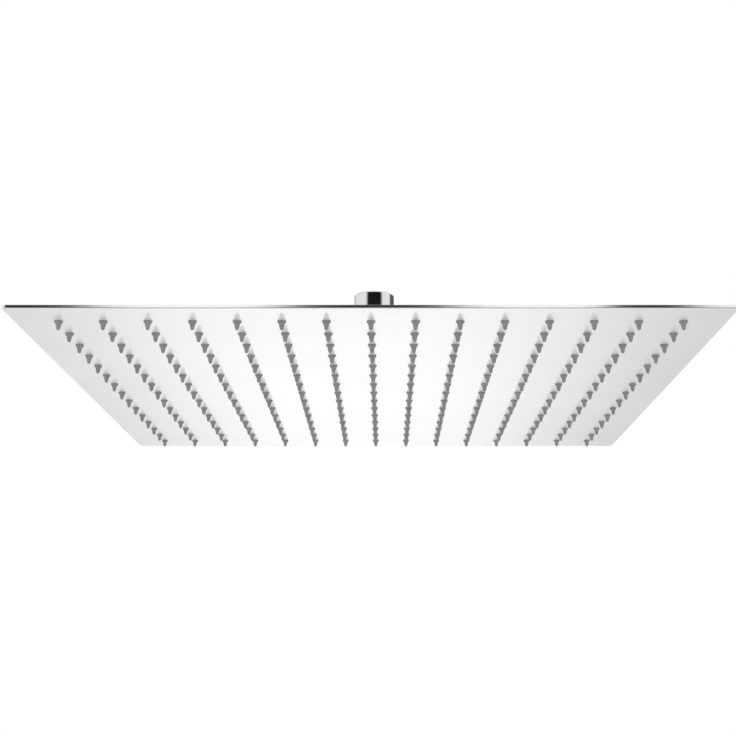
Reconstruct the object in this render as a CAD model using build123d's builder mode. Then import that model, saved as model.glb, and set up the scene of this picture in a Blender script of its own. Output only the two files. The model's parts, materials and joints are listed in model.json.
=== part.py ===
from build123d import *
from math import asin, atan, cos, degrees, pi, radians, sin, sqrt, tan
import os

# Square rain shower head on a swivel ball joint, in millimetres with +Z up.
# The origin is the centre of the inlet thread's mouth. The arm screws in from above,
# and the nozzles point down.

# Face plate, a pan of thin sheet with its rim turned up
plate_size = 400.0
plate_corner_radius = 2.6
face_sheet = 0.8
edge_height = 2.0
edge_bend_radius = 0.4
edge_lip_radius = 0.15

# Back plate, a pressed sheet welded inside the rim and raised over the water chamber
back_sheet = 0.8
chamber_height = 3.4
pan_inset = 10.0
pan_slope = 45.0
pan_corner_radius = 20.0
pan_bend_radius = 2.0
weld_gap = 0.05

# Nozzles, moulded in rows on soft strips that lie inside the face plate
nozzle_pitch = 25.0
nozzle_margin = 25.0
nozzle_length = 5.0
nozzle_base_radius = 2.6
nozzle_tip_radius = 1.1
nozzle_sides = 6
nozzle_clearance = 0.1
strip_width = 8.0
strip_thickness = 0.8
strip_end = 6.0

# Stays, short studs that tie the two sheets together between the nozzles
stay_pitches = 3
stay_radius = 2.5
stay_sides = 6

# Inlet sleeve with a G 1/2 internal thread, drawn at its minor radius
thread_radius = 9.316
thread_length = 14.0
sleeve_radius = 14.1
sleeve_floor = 3.0
sleeve_round = 0.7
spanner_width = 25.0
spanner_height = 7.0
spanner_rise = 2.0

# Pieces that lie in the sleeve below the thread
seat_clearance = 0.1
gasket_seat_radius = 9.0
gasket_bore_radius = 6.0
gasket_thickness = 1.9
screen_thickness = 0.4
screen_gap_pitch = 1.9
screen_gap_size = 1.3
screen_gap_count = 5
regulator_seat_radius = 7.5
regulator_height = 4.4
regulator_floor = 1.6
regulator_groove_inner = 2.2
regulator_groove_outer = 5.8
regulator_port_radius = 0.7
regulator_port_count = 6
regulator_ring_radius = 3.9
regulator_ring_section = 1.0

# Ball joint
ball_radius = 11.0
ball_clearance = 0.1
neck_radius = 6.5
waterway_radius = 4.5
tilt_gap = 6.5
ring_thickness = 1.2
ring_top_angle = 52.0
ring_bottom_angle = 80.0
seal_height = 9.0
seal_bore_radius = 7.0

# Retaining nut over the ball
nut_opening_angle = 49.0
nut_lip_thickness = 2.1
nut_lip_flare = 1.0
nut_wall = 2.0
nut_chamfer_angle = 30.0
nut_skirt = 12.0

# Inlet boss, welded to the back plate and screwed into the nut
socket_clearance = 0.4
socket_wall = 2.55
socket_top_drop = 1.0
socket_floor_depth = 14.0
boss_thread_clearance = 0.05
boss_thread_length = 11.6
boss_neck_radius = 12.5
boss_neck_length = 7.6
boss_bore_radius = 6.0
boss_flange_radius = 26.0
boss_flange_thickness = 2.4
boss_flange_round = 3.0
boss_spigot_radius = 10.0

# Levels from the inlet's mouth down
gasket_top_z = -thread_length - seat_clearance
screen_top_z = gasket_top_z - gasket_thickness
screen_seat_z = screen_top_z - screen_thickness
regulator_seat_z = screen_seat_z - seat_clearance - regulator_height
sleeve_foot_z = regulator_seat_z - sleeve_floor

# Concentric radii of the ball joint, and its centre
ring_inner_radius = ball_radius + ball_clearance
ring_outer_radius = ring_inner_radius + ring_thickness
nut_seat_radius = ring_outer_radius + ball_clearance
nut_opening_radius = nut_seat_radius * sin(radians(nut_opening_angle))
nut_opening_rise = nut_seat_radius * cos(radians(nut_opening_angle))
nut_lip_z = sleeve_foot_z - tilt_gap
nut_opening_z = nut_lip_z - nut_lip_thickness
ball_z = nut_opening_z - nut_opening_rise
neck_foot_z = ball_z + sqrt(ball_radius**2 - neck_radius**2)
ball_foot_z = ball_z - sqrt(ball_radius**2 - waterway_radius**2)

# Levels of the boss and the two sheets below the ball
socket_radius = ball_radius + socket_clearance
boss_thread_radius = socket_radius + socket_wall
socket_top_z = ball_z - socket_top_drop
socket_floor_z = ball_z - socket_floor_depth
boss_thread_foot_z = socket_top_z - boss_thread_length
boss_flange_top_z = socket_floor_z - boss_neck_length
back_top_z = boss_flange_top_z - boss_flange_thickness
back_under_z = back_top_z - back_sheet
face_inside_z = back_under_z - chamber_height
face_z = face_inside_z - face_sheet
edge_top_z = face_z + edge_height
nozzle_tip_z = face_z - nozzle_length

# Nozzle field
nozzle_count = int((plate_size - 2 * nozzle_margin) / nozzle_pitch) + 1
nozzle_span = (nozzle_count - 1) * nozzle_pitch
nozzle_slope = (nozzle_base_radius - nozzle_tip_radius) / nozzle_length
nozzle_root_radius = nozzle_base_radius + nozzle_slope * face_sheet
nozzle_hole_radius = nozzle_root_radius + nozzle_clearance
nozzle_draft = degrees(atan(nozzle_slope * cos(pi / nozzle_sides)))

os.makedirs("parts", exist_ok=True)


# Face plate with one hole for each nozzle
with BuildPart() as face_plate:
    with BuildSketch(Plane.XY.offset(face_z)):
        RectangleRounded(plate_size, plate_size, plate_corner_radius)
    extrude(amount=edge_height)
    fillet(face_plate.faces().sort_by(Axis.Z)[0].edges(), edge_bend_radius)
    fillet(face_plate.faces().sort_by(Axis.Z)[-1].edges(), edge_lip_radius)
    rim_opening = plate_size - 2 * face_sheet
    with BuildSketch(Plane.XY.offset(face_inside_z)):
        RectangleRounded(rim_opening, rim_opening, plate_corner_radius - face_sheet)
    extrude(amount=edge_height, mode=Mode.SUBTRACT)
    with BuildSketch(Plane.XY.offset(face_z)):
        with GridLocations(nozzle_pitch, nozzle_pitch, nozzle_count, nozzle_count):
            RegularPolygon(nozzle_hole_radius, nozzle_sides)
    extrude(amount=face_sheet, mode=Mode.SUBTRACT)
face_plate.part.label = "face_plate"
export_step(face_plate.part, "parts/face_plate.step")


# Back plate, flush with the rim at its edge and pressed up over the chamber
back_size = rim_opening - 2 * weld_gap
back_corner_radius = plate_corner_radius - face_sheet - weld_gap
pan_size = plate_size - 2 * pan_inset
pan_inner_shift = back_sheet / sin(radians(pan_slope)) - back_sheet / tan(radians(pan_slope))
pan_inner_size = pan_size - 2 * pan_inner_shift
with BuildPart() as back_plate:
    with BuildSketch(Plane.XY.offset(edge_top_z - back_sheet)):
        RectangleRounded(back_size, back_size, back_corner_radius)
    extrude(amount=back_sheet)
    with BuildSketch(Plane.XY.offset(edge_top_z)):
        RectangleRounded(pan_size, pan_size, pan_corner_radius)
    extrude(amount=back_top_z - edge_top_z, taper=90 - pan_slope)
    fillet(back_plate.faces().sort_by(Axis.Z)[-1].edges(), pan_bend_radius)
    with BuildSketch(Plane.XY.offset(edge_top_z - back_sheet)):
        RectangleRounded(pan_inner_size, pan_inner_size, pan_corner_radius - pan_inner_shift)
    extrude(amount=back_top_z - edge_top_z, taper=90 - pan_slope, mode=Mode.SUBTRACT)
    with BuildSketch(Plane.XY.offset(back_under_z)):
        Circle(boss_spigot_radius + weld_gap)
    extrude(amount=back_sheet, mode=Mode.SUBTRACT)
back_plate.part.label = "back_plate"
export_step(back_plate.part, "parts/back_plate.step")


# One strip with its row of nozzles, repeated for each row
with BuildPart() as nozzle_strip:
    with BuildSketch(Plane.XY.offset(face_inside_z)):
        Rectangle(nozzle_span + 2 * strip_end, strip_width)
    extrude(amount=strip_thickness)
    with BuildSketch(Plane.XY.offset(face_inside_z)):
        with GridLocations(nozzle_pitch, nozzle_pitch, nozzle_count, 1):
            RegularPolygon(nozzle_root_radius, nozzle_sides)
    extrude(amount=nozzle_tip_z - face_inside_z)
    nozzle_faces = nozzle_strip.faces().filter_by_position(Axis.Z, nozzle_tip_z, face_inside_z)
    nozzle_walls = nozzle_faces.filter_by(Axis.Z, reverse=True)
    draft(nozzle_walls, Plane.XY.offset(face_inside_z), -nozzle_draft)
for row in range(nozzle_count):
    row_y = row * nozzle_pitch - nozzle_span / 2
    row_strip = nozzle_strip.part.moved(Location((0, row_y, 0)))
    row_strip.label = f"nozzle_strip_{row + 1:02d}"
    export_step(row_strip, f"parts/{row_strip.label}.step")


# Stays, one group of studs midway between the nozzle rows and columns
stay_count = (nozzle_count - 1) // stay_pitches
stay_count = stay_count - 1 + (stay_count + nozzle_count) % 2
with BuildPart() as stays:
    with BuildSketch(Plane.XY.offset(face_inside_z)):
        with GridLocations(
            stay_pitches * nozzle_pitch, stay_pitches * nozzle_pitch, stay_count, stay_count
        ):
            RegularPolygon(stay_radius, stay_sides)
    extrude(amount=chamber_height)
stays.part.label = "stays"
export_step(stays.part, "parts/stays.step")


# Inlet sleeve, neck and ball, turned as one piece
with BuildPart() as ball_stem:
    with BuildSketch(Plane.XZ):
        with BuildLine():
            outside = Polyline(
                (thread_radius, 0),
                (sleeve_radius, 0),
                (sleeve_radius, sleeve_foot_z),
                (neck_radius, sleeve_foot_z),
                (neck_radius, neck_foot_z),
            )
            ball = ThreePointArc(
                outside @ 1, (ball_radius, ball_z), (waterway_radius, ball_foot_z)
            )
            Polyline(
                ball @ 1,
                (waterway_radius, regulator_seat_z),
                (regulator_seat_radius, regulator_seat_z),
                (regulator_seat_radius, screen_seat_z),
                (gasket_seat_radius, screen_seat_z),
                (gasket_seat_radius, -thread_length),
                (thread_radius, -thread_length),
                outside @ 0,
            )
        make_face()
    revolve(axis=Axis.Z)
    sleeve_rims = ball_stem.edges().filter_by(GeomType.CIRCLE)
    fillet(sleeve_rims.filter_by(lambda rim: abs(rim.radius - sleeve_radius) < 0.001), sleeve_round)
    with BuildSketch(Plane.XY.offset(sleeve_foot_z + spanner_rise)):
        Rectangle(4 * sleeve_radius, 4 * sleeve_radius)
        Rectangle(spanner_width, 4 * sleeve_radius, mode=Mode.SUBTRACT)
    extrude(amount=spanner_height, mode=Mode.SUBTRACT)
ball_stem.part.label = "ball_stem"
export_step(ball_stem.part, "parts/ball_stem.step")


# Inlet gasket, which the arm's end presses on
with BuildPart() as inlet_gasket:
    with BuildSketch(Plane.XY.offset(screen_top_z)):
        Circle(gasket_seat_radius - seat_clearance)
        Circle(gasket_bore_radius, mode=Mode.SUBTRACT)
    extrude(amount=gasket_thickness)
inlet_gasket.part.label = "inlet_gasket"
export_step(inlet_gasket.part, "parts/inlet_gasket.step")


# Filter screen under the gasket
with BuildPart() as filter_screen:
    with BuildSketch(Plane.XY.offset(screen_seat_z)):
        Circle(gasket_seat_radius - seat_clearance)
        with GridLocations(
            screen_gap_pitch, screen_gap_pitch, screen_gap_count, screen_gap_count
        ):
            Rectangle(screen_gap_size, screen_gap_size, mode=Mode.SUBTRACT)
    extrude(amount=screen_thickness)
filter_screen.part.label = "filter_screen"
export_step(filter_screen.part, "parts/filter_screen.step")


# Flow regulator, a cup whose ring closes on the ports as the pressure rises
with BuildPart() as flow_regulator:
    with BuildSketch(Plane.XY.offset(regulator_seat_z)):
        Circle(regulator_seat_radius - seat_clearance)
    extrude(amount=regulator_height)
    with BuildSketch(Plane.XY.offset(regulator_seat_z + regulator_floor)):
        Circle(regulator_groove_outer)
        Circle(regulator_groove_inner, mode=Mode.SUBTRACT)
    extrude(amount=regulator_height, mode=Mode.SUBTRACT)
    with BuildSketch(Plane.XY.offset(regulator_seat_z)):
        with PolarLocations(regulator_ring_radius, regulator_port_count):
            Circle(regulator_port_radius)
    extrude(amount=regulator_floor, mode=Mode.SUBTRACT)
flow_regulator.part.label = "flow_regulator"
export_step(flow_regulator.part, "parts/flow_regulator.step")


# Soft ring in the regulator's groove
with BuildPart() as regulator_ring:
    with BuildSketch(Plane.XZ):
        with Locations(
            (regulator_ring_radius, regulator_seat_z + regulator_floor + regulator_ring_section)
        ):
            Circle(regulator_ring_section)
    revolve(axis=Axis.Z)
regulator_ring.part.label = "regulator_ring"
export_step(regulator_ring.part, "parts/regulator_ring.step")


# Friction ring, a zone of a sphere between the ball and the nut
with BuildPart() as friction_ring:
    with BuildSketch(Plane.XZ):
        with BuildLine():
            ring_arc = (90 - ring_bottom_angle, ring_bottom_angle - ring_top_angle)
            inner = CenterArc((0, ball_z), ring_inner_radius, *ring_arc)
            outer = CenterArc((0, ball_z), ring_outer_radius, *ring_arc)
            Line(inner @ 0, outer @ 0)
            Line(inner @ 1, outer @ 1)
        make_face()
    revolve(axis=Axis.Z)
friction_ring.part.label = "friction_ring"
export_step(friction_ring.part, "parts/friction_ring.step")


# Ball seal, a soft cup that lies in the socket under the ball
seal_radius = socket_radius - seat_clearance
seal_top_z = socket_floor_z + seal_height
seal_lip_radius = sqrt(ring_inner_radius**2 - (ball_z - seal_top_z) ** 2)
seal_throat_z = ball_z - sqrt(ring_inner_radius**2 - seal_bore_radius**2)
seal_lip_angle = degrees(asin((ball_z - seal_top_z) / ring_inner_radius))
seal_throat_angle = degrees(asin((ball_z - seal_throat_z) / ring_inner_radius))
with BuildPart() as ball_seal:
    with BuildSketch(Plane.XZ):
        with BuildLine():
            cup = CenterArc(
                (0, ball_z), ring_inner_radius, -seal_throat_angle, seal_throat_angle - seal_lip_angle
            )
            Polyline(
                cup @ 1,
                (seal_radius, seal_top_z),
                (seal_radius, socket_floor_z),
                (seal_bore_radius, socket_floor_z),
                cup @ 0,
            )
        make_face()
    revolve(axis=Axis.Z)
ball_seal.part.label = "ball_seal"
export_step(ball_seal.part, "parts/ball_seal.step")


# Inlet boss with the socket for the ball and a flange on the back plate
with BuildPart() as inlet_boss:
    with BuildSketch(Plane.XZ):
        with BuildLine():
            Polyline(
                (boss_bore_radius, back_under_z),
                (boss_bore_radius, socket_floor_z),
                (socket_radius, socket_floor_z),
                (socket_radius, socket_top_z),
                (boss_thread_radius, socket_top_z),
                (boss_thread_radius, boss_thread_foot_z),
                (boss_neck_radius, boss_thread_foot_z),
                (boss_neck_radius, boss_flange_top_z),
                (boss_flange_radius, boss_flange_top_z),
                (boss_flange_radius, back_top_z),
                (boss_spigot_radius, back_top_z),
                (boss_spigot_radius, back_under_z),
                close=True,
            )
        make_face()
    revolve(axis=Axis.Z)
    flange_rings = inlet_boss.edges().filter_by_position(Axis.Z, boss_flange_top_z, boss_flange_top_z)
    fillet(flange_rings.sort_by(SortBy.RADIUS)[0], boss_flange_round)
    flange_rings = inlet_boss.edges().filter_by_position(Axis.Z, boss_flange_top_z, boss_flange_top_z)
    chamfer(flange_rings.sort_by(SortBy.RADIUS)[-1], boss_flange_thickness / 2)
inlet_boss.part.label = "inlet_boss"
export_step(inlet_boss.part, "parts/inlet_boss.step")


# Retaining nut, a hexagon skirt under a dome that is concentric with the ball
nut_bore_radius = boss_thread_radius + boss_thread_clearance
nut_flat_radius = nut_bore_radius + nut_wall
nut_corner_radius = nut_flat_radius / cos(pi / 6)
nut_chamfer = (nut_corner_radius - nut_flat_radius) * tan(radians(nut_chamfer_angle))
nut_shoulder_z = socket_top_z + seat_clearance
nut_foot_z = nut_shoulder_z - nut_skirt
nut_lip_radius = sqrt(nut_flat_radius**2 - (nut_lip_z - ball_z) ** 2)
nut_lip_angle = degrees(asin((nut_lip_z - ball_z) / nut_flat_radius))
with BuildPart() as retaining_nut:
    with BuildSketch(Plane.XZ):
        with BuildLine():
            dome = CenterArc((0, ball_z), nut_flat_radius, 0, nut_lip_angle)
            seat = CenterArc((0, ball_z), nut_seat_radius, 0, 90 - nut_opening_angle)
            Polyline(dome @ 1, (nut_opening_radius + nut_lip_flare, nut_lip_z), seat @ 1)
            Polyline(
                seat @ 0,
                (nut_seat_radius, nut_shoulder_z),
                (nut_bore_radius, nut_shoulder_z),
                (nut_bore_radius, nut_foot_z),
                (nut_flat_radius, nut_foot_z),
                (nut_corner_radius, nut_foot_z + nut_chamfer),
                (nut_corner_radius, ball_z - nut_chamfer),
                dome @ 0,
            )
        make_face()
    revolve(axis=Axis.Z)
    with BuildSketch(Plane.XY.offset(nut_foot_z)):
        RegularPolygon(nut_flat_radius, 6, major_radius=False)
    extrude(amount=nut_lip_z - nut_foot_z, mode=Mode.INTERSECT)
retaining_nut.part.label = "retaining_nut"
export_step(retaining_nut.part, "parts/retaining_nut.step")
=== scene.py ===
"""Looks of the square rain shower head: a polished pan, soft nozzles and a chrome ball joint."""

import json
import math

import bmesh
import bpy
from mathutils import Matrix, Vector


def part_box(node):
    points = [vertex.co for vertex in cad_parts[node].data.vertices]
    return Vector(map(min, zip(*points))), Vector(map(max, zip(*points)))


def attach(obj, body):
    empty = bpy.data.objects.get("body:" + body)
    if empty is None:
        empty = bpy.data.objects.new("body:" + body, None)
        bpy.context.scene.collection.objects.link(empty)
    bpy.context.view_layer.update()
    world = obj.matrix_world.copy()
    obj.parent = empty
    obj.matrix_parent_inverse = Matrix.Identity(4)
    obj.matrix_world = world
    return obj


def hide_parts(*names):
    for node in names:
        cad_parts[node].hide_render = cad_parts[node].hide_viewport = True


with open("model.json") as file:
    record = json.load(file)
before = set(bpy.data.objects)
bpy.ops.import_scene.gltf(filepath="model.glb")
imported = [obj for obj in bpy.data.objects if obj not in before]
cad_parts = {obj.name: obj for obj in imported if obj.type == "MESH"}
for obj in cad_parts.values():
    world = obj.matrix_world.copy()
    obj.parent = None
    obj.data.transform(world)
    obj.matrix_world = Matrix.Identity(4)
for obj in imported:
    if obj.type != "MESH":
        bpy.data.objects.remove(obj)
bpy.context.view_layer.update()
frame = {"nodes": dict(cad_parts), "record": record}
scene = bpy.context.scene
nodes = frame["nodes"]
record = frame["record"]

MM = 0.001

# Settings of the mesh operators
CLOSE = 1e-6
LEVEL_NORMAL = 0.99
ROUND_PROFILE = 0.5
ROUND_STEPS = 96
CORNER_STEPS = 12
BEND_STEPS = 5
LIP_STEPS = 3
SMALL_STEPS = 2
SHARP_ANGLE = 35

# Places and sizes read from the frame, in metres
face_low, face_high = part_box("face_plate")
back_low, back_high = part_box("back_plate")
nut_low, nut_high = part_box("retaining_nut")
boss_low, boss_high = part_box("inlet_boss")
strip_low, strip_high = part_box("nozzle_strip_01")
PLATE_SIZE = face_high.x - face_low.x
FACE_Z = face_low.z
EDGE_TOP_Z = face_high.z
BACK_SIZE = back_high.x - back_low.x
BACK_TOP_Z = back_high.z
BALL_Z = record["behaviour"]["joints"][0]["pos_m"][2]
THREAD_MINOR = record["mounts"][0]["dims"]["r_mm"] * MM
THREAD_LENGTH = record["mounts"][0]["dims"]["length_mm"] * MM
SLEEVE_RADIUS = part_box("ball_stem")[1].x
SCREEN_FOOT_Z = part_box("filter_screen")[0].z
REGULATOR_FOOT_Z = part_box("flow_regulator")[0].z
SEAL_FOOT_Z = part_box("ball_seal")[0].z
NUT_FLAT_RADIUS = nut_high.y
FLANGE_RADIUS = boss_high.x
STRIP_NODES = sorted(name for name in nodes if name.startswith("nozzle_strip_"))
NOZZLE_COUNT = len(STRIP_NODES)
STRIP_LENGTH = strip_high.x - strip_low.x
STRIP_WIDTH = strip_high.y - strip_low.y
NOZZLE_TIP_Z = strip_low.z

# Sheet metal
SHEET = 0.8 * MM
PLATE_CORNER = 2.6 * MM
EDGE_BEND = 0.45 * MM
EDGE_LIP = 0.05 * MM
BACK_CORNER = 1.75 * MM
PAN_SIZE = PLATE_SIZE - 20.0 * MM
PAN_CORNER = 20.0 * MM
PAN_BEND = 2.0 * MM
PAN_SLOPE = math.radians(45)
SPIGOT_HOLE = 10.05 * MM
BEND_SUPPORT = 0.4 * MM
RIM_SUPPORT = 0.06 * MM

# Nozzles
PITCH = 25.0 * MM
HOLE_RADIUS = 2.52 * MM
HOLE_STEPS = 16
NOZZLE_STEPS = 10
NOZZLE_BASE = 2.46 * MM
NOZZLE_COLLAR = 0.55 * MM
NOZZLE_SHOULDER = 1.62 * MM
NOZZLE_SHOULDER_DROP = 1.7 * MM
NOZZLE_TIP = 1.06 * MM
NOZZLE_TIP_ROUND = 0.38 * MM
NOZZLE_TIP_DROP = 0.6 * MM
NOZZLE_BORE = 0.4 * MM
NOZZLE_BORE_DEPTH = 1.6 * MM
NOZZLE_ROOT = 1.0 * MM
NOZZLE_SHARP_ANGLE = 50
STRIP_ROUND = 0.25 * MM

# Inlet sleeve, neck and ball
SLEEVE_FOOT_Z = REGULATOR_FOOT_Z - 3.0 * MM
SLEEVE_ROUND = 0.7 * MM
SPANNER_HALF = 12.5 * MM
SPANNER_LOW_Z = SLEEVE_FOOT_Z + 2.0 * MM
SPANNER_HIGH_Z = SPANNER_LOW_Z + 7.0 * MM
NECK_RADIUS = 6.5 * MM
NECK_ROUND = 0.8 * MM
BALL_RADIUS = 11.0 * MM
BALL_STEPS = 24
WATERWAY_RADIUS = 4.5 * MM
REGULATOR_SEAT = 7.5 * MM
GASKET_SEAT = 9.0 * MM

# Internal G 1/2 thread
THREAD_MAJOR = 10.478 * MM
THREAD_PITCH = 1.814 * MM
THREAD_LEAD_IN = 0.5 * MM
THREAD_CREST = 0.15 * MM
THREAD_BASE = 0.86 * MM
THREAD_BITE = 0.1 * MM
THREAD_STEPS = 48

# Retaining nut and inlet boss
NUT_SIDES = 6
NUT_FIRST_SIDE = 90
NUT_CORNER_RADIUS = 18.2 * MM
NUT_CHAMFER = 1.3 * MM
NUT_BORE = 14.0 * MM
NUT_SEAT = 12.4 * MM
NUT_MOUTH = 10.36 * MM
NUT_THROAT = 9.36 * MM
NUT_THROAT_DROP = 2.1 * MM
NUT_SHOULDER_Z = nut_low.z + 12.0 * MM
NUT_EDGE_ROUND = 0.25 * MM
NUT_SHARP_ANGLE = 25
DOME_STEPS = 10
BOSS_BORE = 6.0 * MM
SOCKET_RADIUS = 11.4 * MM
BOSS_THREAD_RADIUS = 13.95 * MM
BOSS_THREAD_FOOT_Z = boss_high.z - 11.6 * MM
BOSS_THREAD_ROUND = 0.25 * MM
BOSS_NECK_RADIUS = 12.5 * MM
FLANGE_TOP_Z = BACK_TOP_Z + 2.4 * MM
FLANGE_FILLET = 3.0 * MM
FLANGE_CHAMFER = 1.2 * MM
SPIGOT_RADIUS = 10.0 * MM

# Grain that the finishes share
GRAIN_DETAIL = 3
GRAIN_LOW = 0.3
GRAIN_HIGH = 0.7

# Polished face: a clear gloss over the satin, and a rim that leans in and out along each side
FACE_GLOSS = {"Coat Weight": 0.5, "Coat Roughness": 0.06, "Coat IOR": 1.6}
RIM_START_Z = FACE_Z + 0.1 * MM
RIM_ROUGHNESS = 0.16
RIM_LEAN = 0.2
RIM_LEAN_STOPS = [
    (0.0, 0.0), (0.25, 1.0), (0.5, 0.0), (0.75, 1.0), (0.875, 0.1), (1.0, 0.8),
]

# Lathe rings of the boss and woven wire of the screen
LATHE_TURNS = 2 * math.pi / (0.3 * MM)
LATHE_DEPTH = 0.004 * MM
WIRE_TURNS = 2 * math.pi / (1.9 * MM)
WIRE_DEPTH = 0.05 * MM

# Camera, placed from the photograph's own perspective
IMAGE_SIZE = 736
SENSOR_MM = 36.0
FOCAL_PIXELS = 1257.1
PITCH_UP = math.radians(14.256)
CAMERA_X = 8.27 * MM
CAMERA_DROP = 198.77 * MM
CAMERA_NEAR = 651.2 * MM
CAMERA_CLIP = 0.01
CENTRE_SHIFT_PIXELS = -17.8

# Floor and room
FLOOR_DROP = 0.9
FLOOR_RADIUS = 1.6
FLOOR_FADE_START = 0.8
FLOOR_TONE = 0.78
FLOOR_ROUGHNESS = 0.9
SOFT_LEVEL = 0.95
ROOM_LEVEL = 0.78
ROOM_RISE = (math.radians(-2), math.radians(14))
CEILING_LEVEL = 0.36
CEILING_RISE = (math.radians(14), math.radians(58))

# White sweep that the metal mirrors: grey levels by distance to the side, over the height above it
SWEEP_SHALLOW = 0.03
SWEEP_NEAR = 0.09
SWEEP_STEEP = 0.27
SWEEP_REACH = 6.0
SWEEP_FAR_SHARE = 0.36
SWEEP_STOPS = [
    (-6.0, 0.88), (-2.0, 0.88), (-1.2, 0.5), (-0.3, 1.94),
    (0.12, 1.94), (1.05, 0.3), (1.9, 0.67), (3.6, 0.88), (6.0, 0.88),
]

# Cards in the room, in degrees round from the back and up from the horizon
CARDS = [
    {"turn": 186, "half_width": 75, "side_blur": 15, "low": 30, "high": 48, "blur": 6, "grey": 1.0},
    {"turn": 178, "half_width": 43, "side_blur": 10, "low": -38, "high": 14, "blur": 6, "grey": 0.16},
    {"turn": 178, "half_width": 43, "side_blur": 10, "low": 10, "high": 26, "blur": 5, "grey": 0.006},
    {"turn": -30, "half_width": 24, "side_blur": 2, "low": 12, "high": 22, "blur": 3, "grey": 0.55},
    {"turn": 46, "half_width": 30, "side_blur": 2, "low": 10, "high": 25, "blur": 3, "grey": 0.1},
]


# Node helpers

def feed(tree, socket, value):
    """Links another socket to this one, or sets a plain value on it."""
    if isinstance(value, bpy.types.NodeSocket):
        tree.links.new(value, socket)
    else:
        socket.default_value = value


def calc(tree, operation, *values):
    """A math node, with sockets linked and numbers set."""
    node = tree.nodes.new("ShaderNodeMath")
    node.operation = operation
    for socket, value in zip(node.inputs, values):
        feed(tree, socket, value)
    return node.outputs[0]


def soft_step(tree, value, low, high):
    """A smooth rise from 0 at low to 1 at high."""
    node = tree.nodes.new("ShaderNodeMapRange")
    node.interpolation_type = "SMOOTHSTEP"
    tree.links.new(value, node.inputs["Value"])
    node.inputs["From Min"].default_value = low
    node.inputs["From Max"].default_value = high
    return node.outputs["Result"]


def soft_window(tree, value, low, high, blur):
    """1 between low and high, with soft ends."""
    rise = soft_step(tree, value, low - blur, low + blur)
    fall = soft_step(tree, value, high - blur, high + blur)
    return calc(tree, "SUBTRACT", rise, fall)


def level_ramp(tree, value, stops):
    """Grey levels at places from 0 to 1, joined by smooth steps."""
    node = tree.nodes.new("ShaderNodeValToRGB")
    node.color_ramp.interpolation = "EASE"
    tree.links.new(value, node.inputs["Fac"])
    elements = node.color_ramp.elements
    for element, (place, level) in zip(elements, (stops[0], stops[-1])):
        element.position = place
        element.color = (level, level, level, 1)
    for place, level in stops[1:-1]:
        elements.new(place).color = (level, level, level, 1)
    return node.outputs["Color"]


def mix_level(tree, factor, low, high):
    """Blends two values by a factor from 0 to 1."""
    node = tree.nodes.new("ShaderNodeMix")
    for name, value in (("Factor", factor), ("A", low), ("B", high)):
        feed(tree, node.inputs[name], value)
    return node.outputs["Result"]


def mix_tone(tree, factor, dark, pale):
    """Blends two colours by a factor from 0 to 1."""
    node = tree.nodes.new("ShaderNodeMix")
    node.data_type = "RGBA"
    for name, value in (("Factor", factor), ("A", (*dark, 1)), ("B", (*pale, 1))):
        feed(tree, node.inputs[name], value)
    return node.outputs["Result"]


def object_axes(tree):
    """The three Object coordinates as single values."""
    place = tree.nodes.new("ShaderNodeTexCoord")
    split = tree.nodes.new("ShaderNodeSeparateXYZ")
    tree.links.new(place.outputs["Object"], split.inputs["Vector"])
    return split.outputs["X"], split.outputs["Y"], split.outputs["Z"]


def axis_distance(tree, x, y):
    """Distance from the upright axis through the origin."""
    squares = [calc(tree, "POWER", value, 2) for value in (x, y)]
    return calc(tree, "SQRT", calc(tree, "ADD", *squares))


# Materials

def make_grain_group():
    """Soft grain on Object coordinates, stretched along X, between two values."""
    group = bpy.data.node_groups.new("soft_grain", "ShaderNodeTree")
    for name in ("Scale", "Stretch", "Low", "High"):
        group.interface.new_socket(name, in_out="INPUT", socket_type="NodeSocketFloat")
    group.interface.new_socket("Value", in_out="OUTPUT", socket_type="NodeSocketFloat")
    taken = group.nodes.new("NodeGroupInput")
    given = group.nodes.new("NodeGroupOutput")
    place = group.nodes.new("ShaderNodeTexCoord")
    squeeze = group.nodes.new("ShaderNodeCombineXYZ")
    squeeze.inputs["Y"].default_value = 1
    squeeze.inputs["Z"].default_value = 1
    group.links.new(calc(group, "DIVIDE", 1.0, taken.outputs["Stretch"]), squeeze.inputs["X"])
    stretched = group.nodes.new("ShaderNodeVectorMath")
    stretched.operation = "MULTIPLY"
    group.links.new(place.outputs["Object"], stretched.inputs[0])
    group.links.new(squeeze.outputs["Vector"], stretched.inputs[1])
    noise = group.nodes.new("ShaderNodeTexNoise")
    noise.inputs["Detail"].default_value = GRAIN_DETAIL
    group.links.new(stretched.outputs["Vector"], noise.inputs["Vector"])
    group.links.new(taken.outputs["Scale"], noise.inputs["Scale"])
    spread = soft_step(group, noise.outputs["Fac"], GRAIN_LOW, GRAIN_HIGH)
    value = mix_level(group, spread, taken.outputs["Low"], taken.outputs["High"])
    group.links.new(value, given.inputs["Value"])
    return group


GRAIN = make_grain_group()


def add_grain(tree, scale, low=0.0, high=1.0, stretch=1.0):
    """Places the grain group in a material with its own values."""
    node = tree.nodes.new("ShaderNodeGroup")
    node.node_tree = GRAIN
    for name, value in (("Scale", scale), ("Stretch", stretch), ("Low", low), ("High", high)):
        node.inputs[name].default_value = value
    return node.outputs["Value"]


def add_bump(tree, shader, height, distance):
    """Feeds a height through a bump node to the shader's normal."""
    node = tree.nodes.new("ShaderNodeBump")
    node.inputs["Distance"].default_value = distance
    tree.links.new(height, node.inputs["Height"])
    tree.links.new(node.outputs["Normal"], shader.inputs["Normal"])


def new_material(name, values):
    """A node material with plain values set on its shader's own sockets."""
    material = bpy.data.materials.new(name)
    material.use_nodes = True
    shader = material.node_tree.nodes["Principled BSDF"]
    for socket, value in values.items():
        shader.inputs[socket].default_value = value
    return material, material.node_tree, shader


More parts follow.
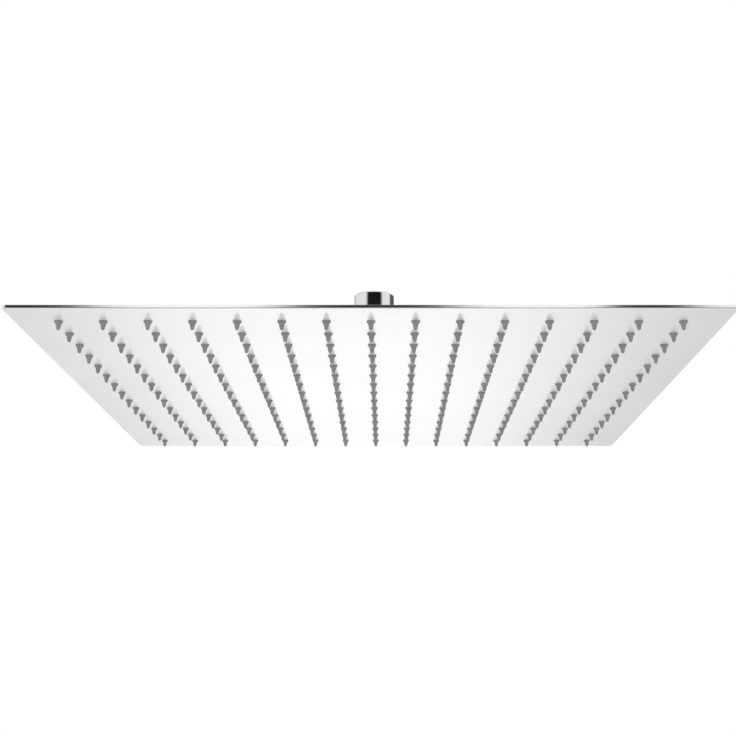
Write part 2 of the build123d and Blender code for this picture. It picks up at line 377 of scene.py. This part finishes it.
def grained_material(
    name, values, dark, pale, tone_scale, smooth, rough, rough_scale, rough_stretch=1.0,
):
    """A material whose tone and roughness both vary with the grain."""
    material, tree, shader = new_material(name, values)
    tone = mix_tone(tree, add_grain(tree, tone_scale), dark, pale)
    tree.links.new(tone, shader.inputs["Base Color"])
    roughness = add_grain(tree, rough_scale, smooth, rough, rough_stretch)
    tree.links.new(roughness, shader.inputs["Roughness"])
    return material, tree, shader


def rim_twist(tree):
    """Height that leans the thin rim in and out along each side, as hand polishing leaves it."""
    x, y, z = object_axes(tree)
    along = calc(tree, "ADD", calc(tree, "ADD", x, y), PLATE_SIZE / 2)
    along = calc(tree, "WRAP", along, PLATE_SIZE / 2, -PLATE_SIZE / 2)
    share = calc(tree, "ADD", calc(tree, "DIVIDE", along, PLATE_SIZE), 0.5)
    lean = level_ramp(tree, share, RIM_LEAN_STOPS)
    rise = calc(tree, "SUBTRACT", z, FACE_Z)
    return calc(tree, "MULTIPLY", calc(tree, "MULTIPLY", rise, lean), -RIM_LEAN)


def make_face_steel():
    """Polished sheet: a fine satin face and a brighter rim."""
    material, tree, shader = grained_material(
        "polished_steel_face", {"Metallic": 1.0, **FACE_GLOSS},
        dark=(0.955, 0.955, 0.957), pale=(0.985, 0.983, 0.98), tone_scale=9.0,
        smooth=0.57, rough=0.63, rough_scale=700.0, rough_stretch=25.0,
    )
    satin = shader.inputs["Roughness"].links[0].from_socket
    rim = soft_step(tree, object_axes(tree)[2], RIM_START_Z, FACE_Z + EDGE_BEND)
    tree.links.new(mix_level(tree, rim, satin, RIM_ROUGHNESS), shader.inputs["Roughness"])
    add_bump(tree, shader, rim_twist(tree), distance=1.0)
    return material


def make_back_steel():
    """Polished sheet of the hidden side, with faint polishing lines."""
    material, tree, shader = grained_material(
        "polished_steel_back", {"Metallic": 1.0},
        dark=(0.86, 0.86, 0.865), pale=(0.92, 0.918, 0.915), tone_scale=12.0,
        smooth=0.2, rough=0.3, rough_scale=900.0, rough_stretch=40.0,
    )
    add_bump(tree, shader, add_grain(tree, scale=1400.0, stretch=60.0), distance=0.0013 * MM)
    return material


def make_turned_steel():
    """Turned steel of the boss, with fine rings from the lathe."""
    material, tree, shader = grained_material(
        "turned_steel", {"Metallic": 1.0},
        dark=(0.7, 0.7, 0.705), pale=(0.8, 0.798, 0.795), tone_scale=60.0,
        smooth=0.24, rough=0.36, rough_scale=1200.0,
    )
    x, y, z = object_axes(tree)
    along = calc(tree, "ADD", axis_distance(tree, x, y), z)
    rings = calc(tree, "SINE", calc(tree, "MULTIPLY", along, LATHE_TURNS))
    add_bump(tree, shader, rings, LATHE_DEPTH)
    return material


def make_chrome():
    """Bright plating with faint smears."""
    return grained_material(
        "chrome", {"Metallic": 1.0},
        dark=(0.92, 0.925, 0.93), pale=(0.96, 0.96, 0.96), tone_scale=40.0,
        smooth=0.03, rough=0.09, rough_scale=180.0,
    )[0]


def make_silicone():
    """Matt grey silicone, a little uneven in tone."""
    material, tree, shader = grained_material(
        "grey_silicone", {},
        dark=(0.28, 0.263, 0.253), pale=(0.34, 0.317, 0.305), tone_scale=260.0,
        smooth=0.5, rough=0.68, rough_scale=900.0,
    )
    add_bump(tree, shader, add_grain(tree, scale=2500.0), distance=0.02 * MM)
    return material


def make_acetal():
    """Plain white moulded plastic."""
    material, tree, shader = grained_material(
        "white_acetal", {},
        dark=(0.78, 0.78, 0.75), pale=(0.86, 0.86, 0.83), tone_scale=150.0,
        smooth=0.35, rough=0.5, rough_scale=1200.0,
    )
    add_bump(tree, shader, add_grain(tree, scale=3000.0), distance=0.01 * MM)
    return material


def make_rubber():
    """Black moulded rubber with a fine bloom."""
    material, tree, shader = grained_material(
        "black_rubber", {},
        dark=(0.015, 0.015, 0.015), pale=(0.04, 0.039, 0.038), tone_scale=300.0,
        smooth=0.55, rough=0.75, rough_scale=1500.0,
    )
    add_bump(tree, shader, add_grain(tree, scale=4000.0), distance=0.015 * MM)
    return material


def make_mesh_steel():
    """Woven stainless wire of the filter screen."""
    material, tree, shader = grained_material(
        "steel_mesh", {"Metallic": 1.0},
        dark=(0.5, 0.5, 0.5), pale=(0.75, 0.75, 0.75), tone_scale=500.0,
        smooth=0.25, rough=0.4, rough_scale=2000.0,
    )
    level_axes = object_axes(tree)[:2]
    waves = [calc(tree, "SINE", calc(tree, "MULTIPLY", axis, WIRE_TURNS)) for axis in level_axes]
    add_bump(tree, shader, calc(tree, "MULTIPLY", *waves), WIRE_DEPTH)
    return material


# Mesh helpers

def finish_piece(bm, name, material, body, slot, *replaced, sharp_angle=SHARP_ANGLE):
    """Turns a bmesh into a piece that rides on a body and stands for CAD nodes."""
    mesh = bpy.data.meshes.new(name)
    bm.to_mesh(mesh)
    bm.free()
    mesh.materials.append(material)
    mesh.shade_smooth()
    mesh.set_sharp_from_angle(angle=math.radians(sharp_angle))
    piece = bpy.data.objects.new(name, mesh)
    scene.collection.objects.link(piece)
    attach(piece, body)
    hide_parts(*replaced)


def verts_of(geometry):
    """The vertices in a list of mixed geometry."""
    return [g for g in geometry if isinstance(g, bmesh.types.BMVert)]


def edges_of(verts):
    """The edges at some vertices, each of them once."""
    return list(dict.fromkeys(e for v in verts for e in v.link_edges))


def everything(bm):
    """All the vertices, edges and faces."""
    return list(bm.verts) + list(bm.edges) + list(bm.faces)


def round_square(bm, size, corner, height):
    """A flat square face with round corners."""
    grid = bmesh.ops.create_grid(bm, x_segments=1, y_segments=1, size=size / 2)
    bmesh.ops.translate(bm, verts=grid["verts"], vec=(0, 0, height))
    bmesh.ops.bevel(
        bm, geom=grid["verts"], offset=corner, offset_type="OFFSET", segments=CORNER_STEPS,
        profile=ROUND_PROFILE, affect="VERTICES", material=-1,
    )
    return face_at(bm, height, 1)


def face_at(bm, height, up):
    """The largest level face at a height, looking up or down."""
    bm.normal_update()
    level = [
        f for f in bm.faces
        if abs(f.calc_center_median().z - height) < CLOSE and f.normal.z * up > LEVEL_NORMAL
    ]
    return max(level, key=lambda f: f.calc_area())


def raise_face(bm, face, height):
    """Extrudes a face straight up."""
    grown = bmesh.ops.extrude_face_region(bm, geom=[face])["geom"]
    bmesh.ops.translate(bm, verts=verts_of(grown), vec=(0, 0, height))


def round_edges(bm, edges, offset, steps):
    """Bevels edges to a round."""
    bmesh.ops.bevel(
        bm, geom=list(edges), offset=offset, offset_type="OFFSET", segments=steps,
        profile=ROUND_PROFILE, affect="EDGES", material=-1,
    )


def open_face(bm, face):
    """Deletes a face and returns the edges round the gap."""
    rim = list(face.edges)
    bmesh.ops.delete(bm, geom=[face], context="FACES_ONLY")
    return rim


def open_edges(bm):
    """The edges round all the gaps."""
    return [e for e in bm.edges if e.is_boundary]


def level_rim(bm, height):
    """The open edges that lie at a height."""
    return [e for e in open_edges(bm) if all(abs(v.co.z - height) < CLOSE for v in e.verts)]


def repeat(bm, part, offsets):
    """Copies a part to each offset and removes the first one."""
    for offset in offsets:
        copy = bmesh.ops.duplicate(bm, geom=part)["geom"]
        bmesh.ops.translate(bm, verts=verts_of(copy), vec=offset)
    bmesh.ops.delete(bm, geom=verts_of(part), context="VERTS")


def spin_profile(bm, points, steps):
    """Turns a profile of radius and height about the Z axis."""
    verts = [bm.verts.new((radius, 0, height)) for radius, height in points]
    edges = [bm.edges.new(pair) for pair in zip(verts, verts[1:])]
    bmesh.ops.spin(
        bm, geom=verts + edges, cent=(0, 0, 0), axis=(0, 0, 1), angle=2 * math.pi,
        steps=steps, use_merge=True,
    )
    bmesh.ops.remove_doubles(bm, verts=bm.verts, dist=CLOSE)
    bmesh.ops.recalc_face_normals(bm, faces=bm.faces)


def support_cuts(bm, *heights):
    """Cuts level loops into a wall, so that it stays flat beside a round."""
    for height in heights:
        bmesh.ops.bisect_plane(
            bm, geom=everything(bm), plane_co=(0, 0, height), plane_no=(0, 0, 1)
        )


def ring(bm, radius, height):
    """The edges of a turned circle."""
    return [
        e for e in bm.edges
        if all(
            abs(math.hypot(v.co.x, v.co.y) - radius) < CLOSE and abs(v.co.z - height) < CLOSE
            for v in e.verts
        )
    ]


def ball_arc(radius, start, end, steps):
    """Points of an arc about the ball's centre, by angle from the level plane."""
    turns = [start + (end - start) * step / steps for step in range(steps + 1)]
    return [(radius * math.cos(turn), BALL_Z + radius * math.sin(turn)) for turn in turns]


# Face plate and nozzles

def hole_cell(bm):
    """One square of the perforated sheet, with both its sides and the wall of its hole."""
    rims = []
    for height in (FACE_Z, FACE_Z + SHEET):
        hole = bmesh.ops.create_circle(bm, segments=HOLE_STEPS, radius=HOLE_RADIUS)["verts"]
        edge = bmesh.ops.create_circle(bm, segments=HOLE_STEPS, radius=PITCH / 2)["verts"]
        for vert in edge:
            vert.co *= PITCH / 2 / max(abs(vert.co.x), abs(vert.co.y))
        bmesh.ops.translate(bm, verts=hole + edge, vec=(0, 0, height))
        hole_edges = edges_of(hole)
        bmesh.ops.bridge_loops(bm, edges=hole_edges + edges_of(edge))
        rims += hole_edges
    bmesh.ops.bridge_loops(bm, edges=rims)


def nozzle_offsets(row_y=None):
    """Places of the nozzles in one row, or in all rows."""
    places = [(step - (NOZZLE_COUNT - 1) / 2) * PITCH for step in range(NOZZLE_COUNT)]
    rows = places if row_y is None else [row_y]
    return [(x, y, 0) for y in rows for x in places]


def make_face_pan(material):
    """The face plate: a pan with its rim turned up and a round hole for each nozzle."""
    bm = bmesh.new()
    hole_cell(bm)
    repeat(bm, everything(bm), nozzle_offsets())
    bmesh.ops.remove_doubles(bm, verts=bm.verts, dist=CLOSE)
    field = bpy.data.meshes.new("field")
    bm.to_mesh(field)
    bm.clear()
    face = round_square(bm, PLATE_SIZE, PLATE_CORNER, FACE_Z)
    raise_face(bm, face, EDGE_TOP_Z - FACE_Z)
    bmesh.ops.recalc_face_normals(bm, faces=bm.faces)
    round_edges(bm, face_at(bm, FACE_Z, -1).edges, EDGE_BEND, BEND_STEPS)
    round_edges(bm, face_at(bm, EDGE_TOP_Z, 1).edges, EDGE_LIP, LIP_STEPS)
    support_cuts(bm, FACE_Z + EDGE_BEND + RIM_SUPPORT, EDGE_TOP_Z - EDGE_LIP - RIM_SUPPORT)
    bmesh.ops.inset_region(bm, faces=[face_at(bm, EDGE_TOP_Z, 1)], thickness=SHEET - EDGE_LIP)
    mouth = face_at(bm, EDGE_TOP_Z, 1)
    raise_face(bm, mouth, FACE_Z + SHEET - EDGE_TOP_Z)
    open_face(bm, mouth)
    bmesh.ops.inset_region(bm, faces=[face_at(bm, FACE_Z, -1)], thickness=BEND_SUPPORT)
    open_face(bm, face_at(bm, FACE_Z, -1))
    open_face(bm, face_at(bm, FACE_Z + SHEET, 1))
    bm.from_mesh(field)
    bpy.data.meshes.remove(field)
    for height in (FACE_Z, FACE_Z + SHEET):
        bmesh.ops.triangle_fill(bm, edges=level_rim(bm, height), use_beauty=True)
    bmesh.ops.recalc_face_normals(bm, faces=bm.faces)
    finish_piece(bm, "face_pan", material, "head", "polished_steel", "face_plate")


def make_nozzle_row(node, material):
    """A soft strip inside the pan with its row of nozzles."""
    low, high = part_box(node)
    row_y = (low.y + high.y) / 2
    bm = bmesh.new()
    spin_profile(bm, [
        (0, FACE_Z + NOZZLE_ROOT),
        (NOZZLE_BASE, FACE_Z),
        (NOZZLE_BASE, FACE_Z - NOZZLE_COLLAR),
        (NOZZLE_SHOULDER, FACE_Z - NOZZLE_SHOULDER_DROP),
        (NOZZLE_TIP, NOZZLE_TIP_Z + NOZZLE_TIP_DROP),
        (NOZZLE_TIP - NOZZLE_TIP_ROUND, NOZZLE_TIP_Z),
        (NOZZLE_BORE, NOZZLE_TIP_Z),
        (0, NOZZLE_TIP_Z + NOZZLE_BORE_DEPTH),
    ], NOZZLE_STEPS)
    repeat(bm, everything(bm), nozzle_offsets(row_y))
    strip_height = high.z - FACE_Z - SHEET
    strip = bmesh.ops.create_cube(bm, size=1)["verts"]
    bmesh.ops.scale(bm, verts=strip, vec=(STRIP_LENGTH, STRIP_WIDTH, strip_height))
    bmesh.ops.translate(bm, verts=strip, vec=(0, row_y, high.z - strip_height / 2))
    round_edges(bm, edges_of(strip), STRIP_ROUND, SMALL_STEPS)
    name = node.replace("strip", "row")
    finish_piece(
        bm, name, material, "head", "grey_silicone", node, sharp_angle=NOZZLE_SHARP_ANGLE
    )


# Back plate

def make_back_pan(material):
    """The pressed back sheet: a level flange, a sloped step and a flat top round the boss."""
    rise = BACK_TOP_Z - EDGE_TOP_Z
    bend = PAN_BEND * math.tan(PAN_SLOPE / 2)
    margin = bend + BEND_SUPPORT
    bm = bmesh.new()
    rim = open_face(bm, round_square(bm, BACK_SIZE, BACK_CORNER, EDGE_TOP_Z))
    step = round_square(bm, PAN_SIZE + 2 * margin, PAN_CORNER + margin, EDGE_TOP_Z)
    bmesh.ops.bridge_loops(bm, edges=rim + list(step.edges))
    bmesh.ops.inset_region(bm, faces=[step], thickness=margin)
    foot = list(step.edges)
    bmesh.ops.inset_region(bm, faces=[step], thickness=rise, depth=rise)
    round_edges(bm, list(step.edges) + foot, bend, BEND_STEPS)
    bmesh.ops.inset_region(bm, faces=[face_at(bm, BACK_TOP_Z, 1)], thickness=BEND_SUPPORT)
    rim = open_face(bm, face_at(bm, BACK_TOP_Z, 1))
    hole = bmesh.ops.create_circle(bm, segments=ROUND_STEPS, radius=SPIGOT_HOLE)["verts"]
    bmesh.ops.translate(bm, verts=hole, vec=(0, 0, BACK_TOP_Z))
    bmesh.ops.triangle_fill(bm, edges=rim + edges_of(hole), use_beauty=True)
    bmesh.ops.recalc_face_normals(bm, faces=bm.faces)
    bmesh.ops.solidify(bm, geom=bm.faces[:], thickness=-SHEET)
    bmesh.ops.recalc_face_normals(bm, faces=bm.faces)
    finish_piece(bm, "back_pan", material, "head", "polished_steel", "back_plate")


# Ball joint

def spanner_band(bm):
    """The faces between the two heights of the spanner flats."""
    return [f for f in bm.faces if SPANNER_LOW_Z < f.calc_center_median().z < SPANNER_HIGH_Z]


def cut_spanner_flats(bm):
    """Two flats across the foot of the sleeve, with a ledge above and below each."""
    support_cuts(bm, SPANNER_LOW_Z, SPANNER_HIGH_Z)
    for side in (-1, 1):
        wall = [
            f for f in spanner_band(bm)
            if all(math.hypot(v.co.x, v.co.y) > SPANNER_HALF for v in f.verts)
        ]
        wall_edges = list(dict.fromkeys(e for f in wall for e in f.edges))
        wall_verts = list(dict.fromkeys(v for f in wall for v in f.verts))
        bmesh.ops.bisect_plane(
            bm, geom=wall_edges + wall_verts + wall,
            plane_co=(side * SPANNER_HALF, 0, 0), plane_no=(side, 0, 0),
        )
        outside = [f for f in spanner_band(bm) if f.calc_center_median().x * side > SPANNER_HALF]
        bmesh.ops.delete(bm, geom=outside, context="FACES")
        for height in (SPANNER_LOW_Z, SPANNER_HIGH_Z):
            arc = level_rim(bm, height)
            ends = [v for e in arc for v in e.verts if abs(v.co.x * side - SPANNER_HALF) < CLOSE]
            chord = bm.edges.new(ends)
            bmesh.ops.contextual_create(bm, geom=arc + [chord])
        bmesh.ops.contextual_create(bm, geom=open_edges(bm))


def wind_thread(bm):
    """The internal thread: a ridge wound down the bore and rooted in its wall."""
    section = (
        (THREAD_MAJOR + THREAD_BITE, THREAD_BASE),
        (THREAD_MINOR, THREAD_CREST),
        (THREAD_MINOR, -THREAD_CREST),
        (THREAD_MAJOR + THREAD_BITE, -THREAD_BASE),
    )
    top = -THREAD_LEAD_IN - THREAD_PITCH / 2
    turns = (THREAD_LENGTH - THREAD_LEAD_IN - THREAD_PITCH) / THREAD_PITCH
    steps = round(turns * THREAD_STEPS)
    verts = [bm.verts.new((radius, 0, top + height)) for radius, height in section]
    edges = [bm.edges.new((verts[i - 1], verts[i])) for i in range(len(verts))]
    wound = bmesh.ops.spin(
        bm, geom=verts + edges, cent=(0, 0, 0), axis=(0, 0, 1), angle=2 * math.pi * turns,
        steps=steps, dvec=(0, 0, -THREAD_PITCH / THREAD_STEPS), use_merge=False,
    )
    last = [g for g in wound["geom_last"] if isinstance(g, bmesh.types.BMEdge)]
    bmesh.ops.contextual_create(bm, geom=edges)
    bmesh.ops.contextual_create(bm, geom=last)


def make_inlet_stem(material):
    """The chrome sleeve with its thread, the neck and the ball, turned as one piece."""
    neck_turn = math.acos(NECK_RADIUS / BALL_RADIUS)
    foot_turn = -math.acos(WATERWAY_RADIUS / BALL_RADIUS)
    bm = bmesh.new()
    mouth = (THREAD_MAJOR + THREAD_LEAD_IN, 0)
    spin_profile(bm, [
        mouth,
        (SLEEVE_RADIUS, 0),
        (SLEEVE_RADIUS, SLEEVE_FOOT_Z),
        (NECK_RADIUS, SLEEVE_FOOT_Z),
        *ball_arc(BALL_RADIUS, neck_turn, foot_turn, BALL_STEPS),
        (WATERWAY_RADIUS, REGULATOR_FOOT_Z),
        (REGULATOR_SEAT, REGULATOR_FOOT_Z),
        (REGULATOR_SEAT, SCREEN_FOOT_Z),
        (GASKET_SEAT, SCREEN_FOOT_Z),
        (GASKET_SEAT, -THREAD_LENGTH),
        (THREAD_MAJOR, -THREAD_LENGTH),
        (THREAD_MAJOR, -THREAD_LEAD_IN),
        mouth,
    ], ROUND_STEPS)
    rims = ring(bm, SLEEVE_RADIUS, 0) + ring(bm, SLEEVE_RADIUS, SLEEVE_FOOT_Z)
    round_edges(bm, rims, SLEEVE_ROUND, BEND_STEPS)
    support_cuts(bm, -SLEEVE_ROUND - BEND_SUPPORT, SLEEVE_FOOT_Z + SLEEVE_ROUND + BEND_SUPPORT)
    round_edges(bm, ring(bm, NECK_RADIUS, SLEEVE_FOOT_Z), NECK_ROUND, LIP_STEPS)
    cut_spanner_flats(bm)
    wind_thread(bm)
    bmesh.ops.recalc_face_normals(bm, faces=bm.faces)
    finish_piece(bm, "inlet_stem", material, "inlet", "chrome", "ball_stem")


def make_nut(material):
    """The retaining nut: a dome over a chamfered hexagon skirt."""
    lip_turn = math.asin((nut_high.z - BALL_Z) / NUT_FLAT_RADIUS)
    bm = bmesh.new()
    mouth = (NUT_MOUTH, nut_high.z)
    spin_profile(bm, [
        mouth,
        *ball_arc(NUT_FLAT_RADIUS, lip_turn, 0, DOME_STEPS),
        (NUT_CORNER_RADIUS, BALL_Z - NUT_CHAMFER),
        (NUT_CORNER_RADIUS, nut_low.z + NUT_CHAMFER),
        (NUT_FLAT_RADIUS, nut_low.z),
        (NUT_BORE, nut_low.z),
        (NUT_BORE, NUT_SHOULDER_Z),
        (NUT_SEAT, NUT_SHOULDER_Z),
        (NUT_SEAT, BALL_Z),
        (NUT_THROAT, nut_high.z - NUT_THROAT_DROP),
        mouth,
    ], ROUND_STEPS)
    for side in range(NUT_SIDES):
        turn = math.radians(360 / NUT_SIDES * side + NUT_FIRST_SIDE)
        out = (math.cos(turn), math.sin(turn), 0)
        flat = [NUT_FLAT_RADIUS * part for part in out]
        bmesh.ops.bisect_plane(
            bm, geom=everything(bm), plane_co=flat, plane_no=out, clear_outer=True
        )
        bmesh.ops.contextual_create(bm, geom=open_edges(bm))
    bmesh.ops.dissolve_degenerate(bm, edges=bm.edges, dist=CLOSE)
    round_edges(bm, ring(bm, NUT_MOUTH, nut_high.z), NUT_EDGE_ROUND, LIP_STEPS)
    bmesh.ops.recalc_face_normals(bm, faces=bm.faces)
    finish_piece(
        bm, "nut", material, "head", "chrome", "retaining_nut", sharp_angle=NUT_SHARP_ANGLE
    )


def make_boss(material):
    """The inlet boss: a socket for the ball over a round flange on the back plate."""
    bm = bmesh.new()
    foot = (BOSS_BORE, boss_low.z)
    spin_profile(bm, [
        foot,
        (BOSS_BORE, SEAL_FOOT_Z),
        (SOCKET_RADIUS, SEAL_FOOT_Z),
        (SOCKET_RADIUS, boss_high.z),
        (BOSS_THREAD_RADIUS, boss_high.z),
        (BOSS_THREAD_RADIUS, BOSS_THREAD_FOOT_Z),
        (BOSS_NECK_RADIUS, BOSS_THREAD_FOOT_Z),
        (BOSS_NECK_RADIUS, FLANGE_TOP_Z),
        (FLANGE_RADIUS, FLANGE_TOP_Z),
        (FLANGE_RADIUS, BACK_TOP_Z),
        (SPIGOT_RADIUS, BACK_TOP_Z),
        (SPIGOT_RADIUS, boss_low.z),
        foot,
    ], ROUND_STEPS)
    round_edges(bm, ring(bm, BOSS_NECK_RADIUS, FLANGE_TOP_Z), FLANGE_FILLET, BEND_STEPS)
    round_edges(bm, ring(bm, FLANGE_RADIUS, FLANGE_TOP_Z), FLANGE_CHAMFER, LIP_STEPS)
    thread_foot = ring(bm, BOSS_THREAD_RADIUS, BOSS_THREAD_FOOT_Z)
    round_edges(bm, thread_foot, BOSS_THREAD_ROUND, SMALL_STEPS)
    bmesh.ops.recalc_face_normals(bm, faces=bm.faces)
    finish_piece(bm, "boss", material, "head", "polished_steel", "inlet_boss")


# Studio

def seen_rays(tree):
    """1 for the rays that show the background: camera, glossy and transmission rays."""
    path = tree.nodes.new("ShaderNodeLightPath")
    glossy = calc(tree, "MAXIMUM", path.outputs["Is Camera Ray"], path.outputs["Is Glossy Ray"])
    return calc(tree, "MAXIMUM", glossy, path.outputs["Is Transmission Ray"])


def make_floor():
    """A plain pale floor that fades into the white background."""
    bm = bmesh.new()
    bmesh.ops.create_circle(bm, cap_ends=True, segments=ROUND_STEPS, radius=FLOOR_RADIUS)
    bmesh.ops.translate(bm, verts=bm.verts, vec=(0, 0, FACE_Z - FLOOR_DROP))
    mesh = bpy.data.meshes.new("floor")
    bm.to_mesh(mesh)
    bm.free()
    material, tree, shader = new_material("pale_floor", {
        "Base Color": (FLOOR_TONE, FLOOR_TONE, FLOOR_TONE, 1),
        "Roughness": FLOOR_ROUGHNESS,
    })
    x, y = object_axes(tree)[:2]
    fade = soft_step(tree, axis_distance(tree, x, y), FLOOR_FADE_START, FLOOR_RADIUS)
    glow = tree.nodes.new("ShaderNodeEmission")
    mix = tree.nodes.new("ShaderNodeMixShader")
    tree.links.new(calc(tree, "MULTIPLY", fade, seen_rays(tree)), mix.inputs["Fac"])
    tree.links.new(shader.outputs["BSDF"], mix.inputs[1])
    tree.links.new(glow.outputs["Emission"], mix.inputs[2])
    tree.links.new(mix.outputs["Shader"], tree.nodes["Material Output"].inputs["Surface"])
    mesh.materials.append(material)
    floor = bpy.data.objects.new("floor", mesh)
    scene.collection.objects.link(floor)


def sweep_level(tree, x, z):
    """Grey level of the white sweep, by how far to the side a falling ray meets it."""
    down = calc(tree, "MAXIMUM", calc(tree, "MULTIPLY", z, -1.0), SWEEP_SHALLOW)
    down = calc(tree, "MINIMUM", down, SWEEP_STEEP)
    sideways = calc(tree, "DIVIDE", x, down)
    share = calc(tree, "ADD", calc(tree, "DIVIDE", sideways, 2 * SWEEP_REACH), 0.5)
    stops = [(side / SWEEP_REACH / 2 + 0.5, grey) for side, grey in SWEEP_STOPS]
    near = soft_step(tree, down, SWEEP_NEAR, SWEEP_STEEP)
    dimming = mix_level(tree, near, SWEEP_FAR_SHARE, 1.0)
    return calc(tree, "MULTIPLY", level_ramp(tree, share, stops), dimming)


def card_mask(tree, around, above, card):
    """1 where a card stands, with soft edges."""
    turn = calc(tree, "SUBTRACT", around, math.radians(card["turn"]))
    turn = calc(tree, "ABSOLUTE", calc(tree, "WRAP", turn, math.pi, -math.pi))
    outside = math.radians(card["half_width"] + card["side_blur"])
    inside = math.radians(card["half_width"] - card["side_blur"])
    wide = soft_step(tree, turn, outside, inside)
    low, high, blur = (math.radians(card[key]) for key in ("low", "high", "blur"))
    return calc(tree, "MULTIPLY", wide, soft_window(tree, above, low, high, blur))


def studio_level(tree):
    """What the metal mirrors: the sweep below, a grey room, a darker ceiling and the cards."""
    place = tree.nodes.new("ShaderNodeTexCoord")
    split = tree.nodes.new("ShaderNodeSeparateXYZ")
    tree.links.new(place.outputs["Generated"], split.inputs["Vector"])
    x, y, z = split.outputs["X"], split.outputs["Y"], split.outputs["Z"]
    around = calc(tree, "ARCTAN2", x, y)
    above = calc(tree, "ARCSINE", z)
    level = sweep_level(tree, x, z)
    level = mix_level(tree, soft_step(tree, above, *ROOM_RISE), level, ROOM_LEVEL)
    level = mix_level(tree, soft_step(tree, above, *CEILING_RISE), level, CEILING_LEVEL)
    for card in CARDS:
        level = mix_level(tree, card_mask(tree, around, above, card), level, card["grey"])
    return level


def make_world():
    """White for the camera, a studio sweep in the metal and a plain pale room for soft light."""
    world = bpy.data.worlds.new("studio")
    scene.world = world
    world.use_nodes = True
    tree = world.node_tree
    tree.nodes.clear()
    out = tree.nodes.new("ShaderNodeOutputWorld")
    room = tree.nodes.new("ShaderNodeBackground")
    room.inputs["Color"].default_value = (SOFT_LEVEL, SOFT_LEVEL, SOFT_LEVEL, 1)
    sweep = tree.nodes.new("ShaderNodeBackground")
    path = tree.nodes.new("ShaderNodeLightPath")
    seen = mix_level(tree, path.outputs["Is Camera Ray"], studio_level(tree), 1.0)
    tree.links.new(seen, sweep.inputs["Color"])
    mix = tree.nodes.new("ShaderNodeMixShader")
    tree.links.new(seen_rays(tree), mix.inputs["Fac"])
    tree.links.new(room.outputs["Background"], mix.inputs[1])
    tree.links.new(sweep.outputs["Background"], mix.inputs[2])
    tree.links.new(mix.outputs["Shader"], out.inputs["Surface"])


def make_lamp(name, place, size, power):
    """A soft square lamp aimed at the mouth of the inlet."""
    data = bpy.data.lights.new(name, "AREA")
    data.size = size
    data.energy = power
    lamp = bpy.data.objects.new(name, data)
    lamp.location = place
    lamp.rotation_euler = (-lamp.location).to_track_quat("-Z", "Y").to_euler()
    scene.collection.objects.link(lamp)


def make_camera():
    """The camera of the photograph: below the plate, looking slightly up."""
    data = bpy.data.cameras.new("camera")
    data.sensor_width = SENSOR_MM
    data.lens = FOCAL_PIXELS / IMAGE_SIZE * SENSOR_MM
    data.shift_x = CENTRE_SHIFT_PIXELS / IMAGE_SIZE
    data.clip_start = CAMERA_CLIP
    camera = bpy.data.objects.new("camera", data)
    camera.location = (CAMERA_X, face_low.y - CAMERA_NEAR, FACE_Z - CAMERA_DROP)
    camera.rotation_euler = (math.pi / 2 + PITCH_UP, 0, 0)
    scene.collection.objects.link(camera)
    scene.camera = camera


# The scene

scene.view_settings.view_transform = "Standard"
back_steel = make_back_steel()
chrome = make_chrome()
silicone = make_silicone()
slot_materials = {
    "polished_steel": back_steel,
    "chrome": chrome,
    "grey_silicone": silicone,
    "white_acetal": make_acetal(),
    "black_rubber": make_rubber(),
    "steel_mesh": make_mesh_steel(),
}
for subpart in record["subparts"]:
    node = nodes[subpart["node"]]
    node.data.materials.clear()
    node.data.materials.append(slot_materials[subpart["material_slot"]])

make_face_pan(make_face_steel())
for strip_node in STRIP_NODES:
    make_nozzle_row(strip_node, silicone)
make_back_pan(back_steel)
make_inlet_stem(chrome)
make_nut(chrome)
make_boss(make_turned_steel())

make_floor()
make_world()
make_lamp("key_lamp", place=(-0.5, -0.6, 2.0), size=2.0, power=2.2)
make_lamp("fill_lamp", place=(1.2, 0.9, 2.0), size=1.6, power=1.2)
make_camera()
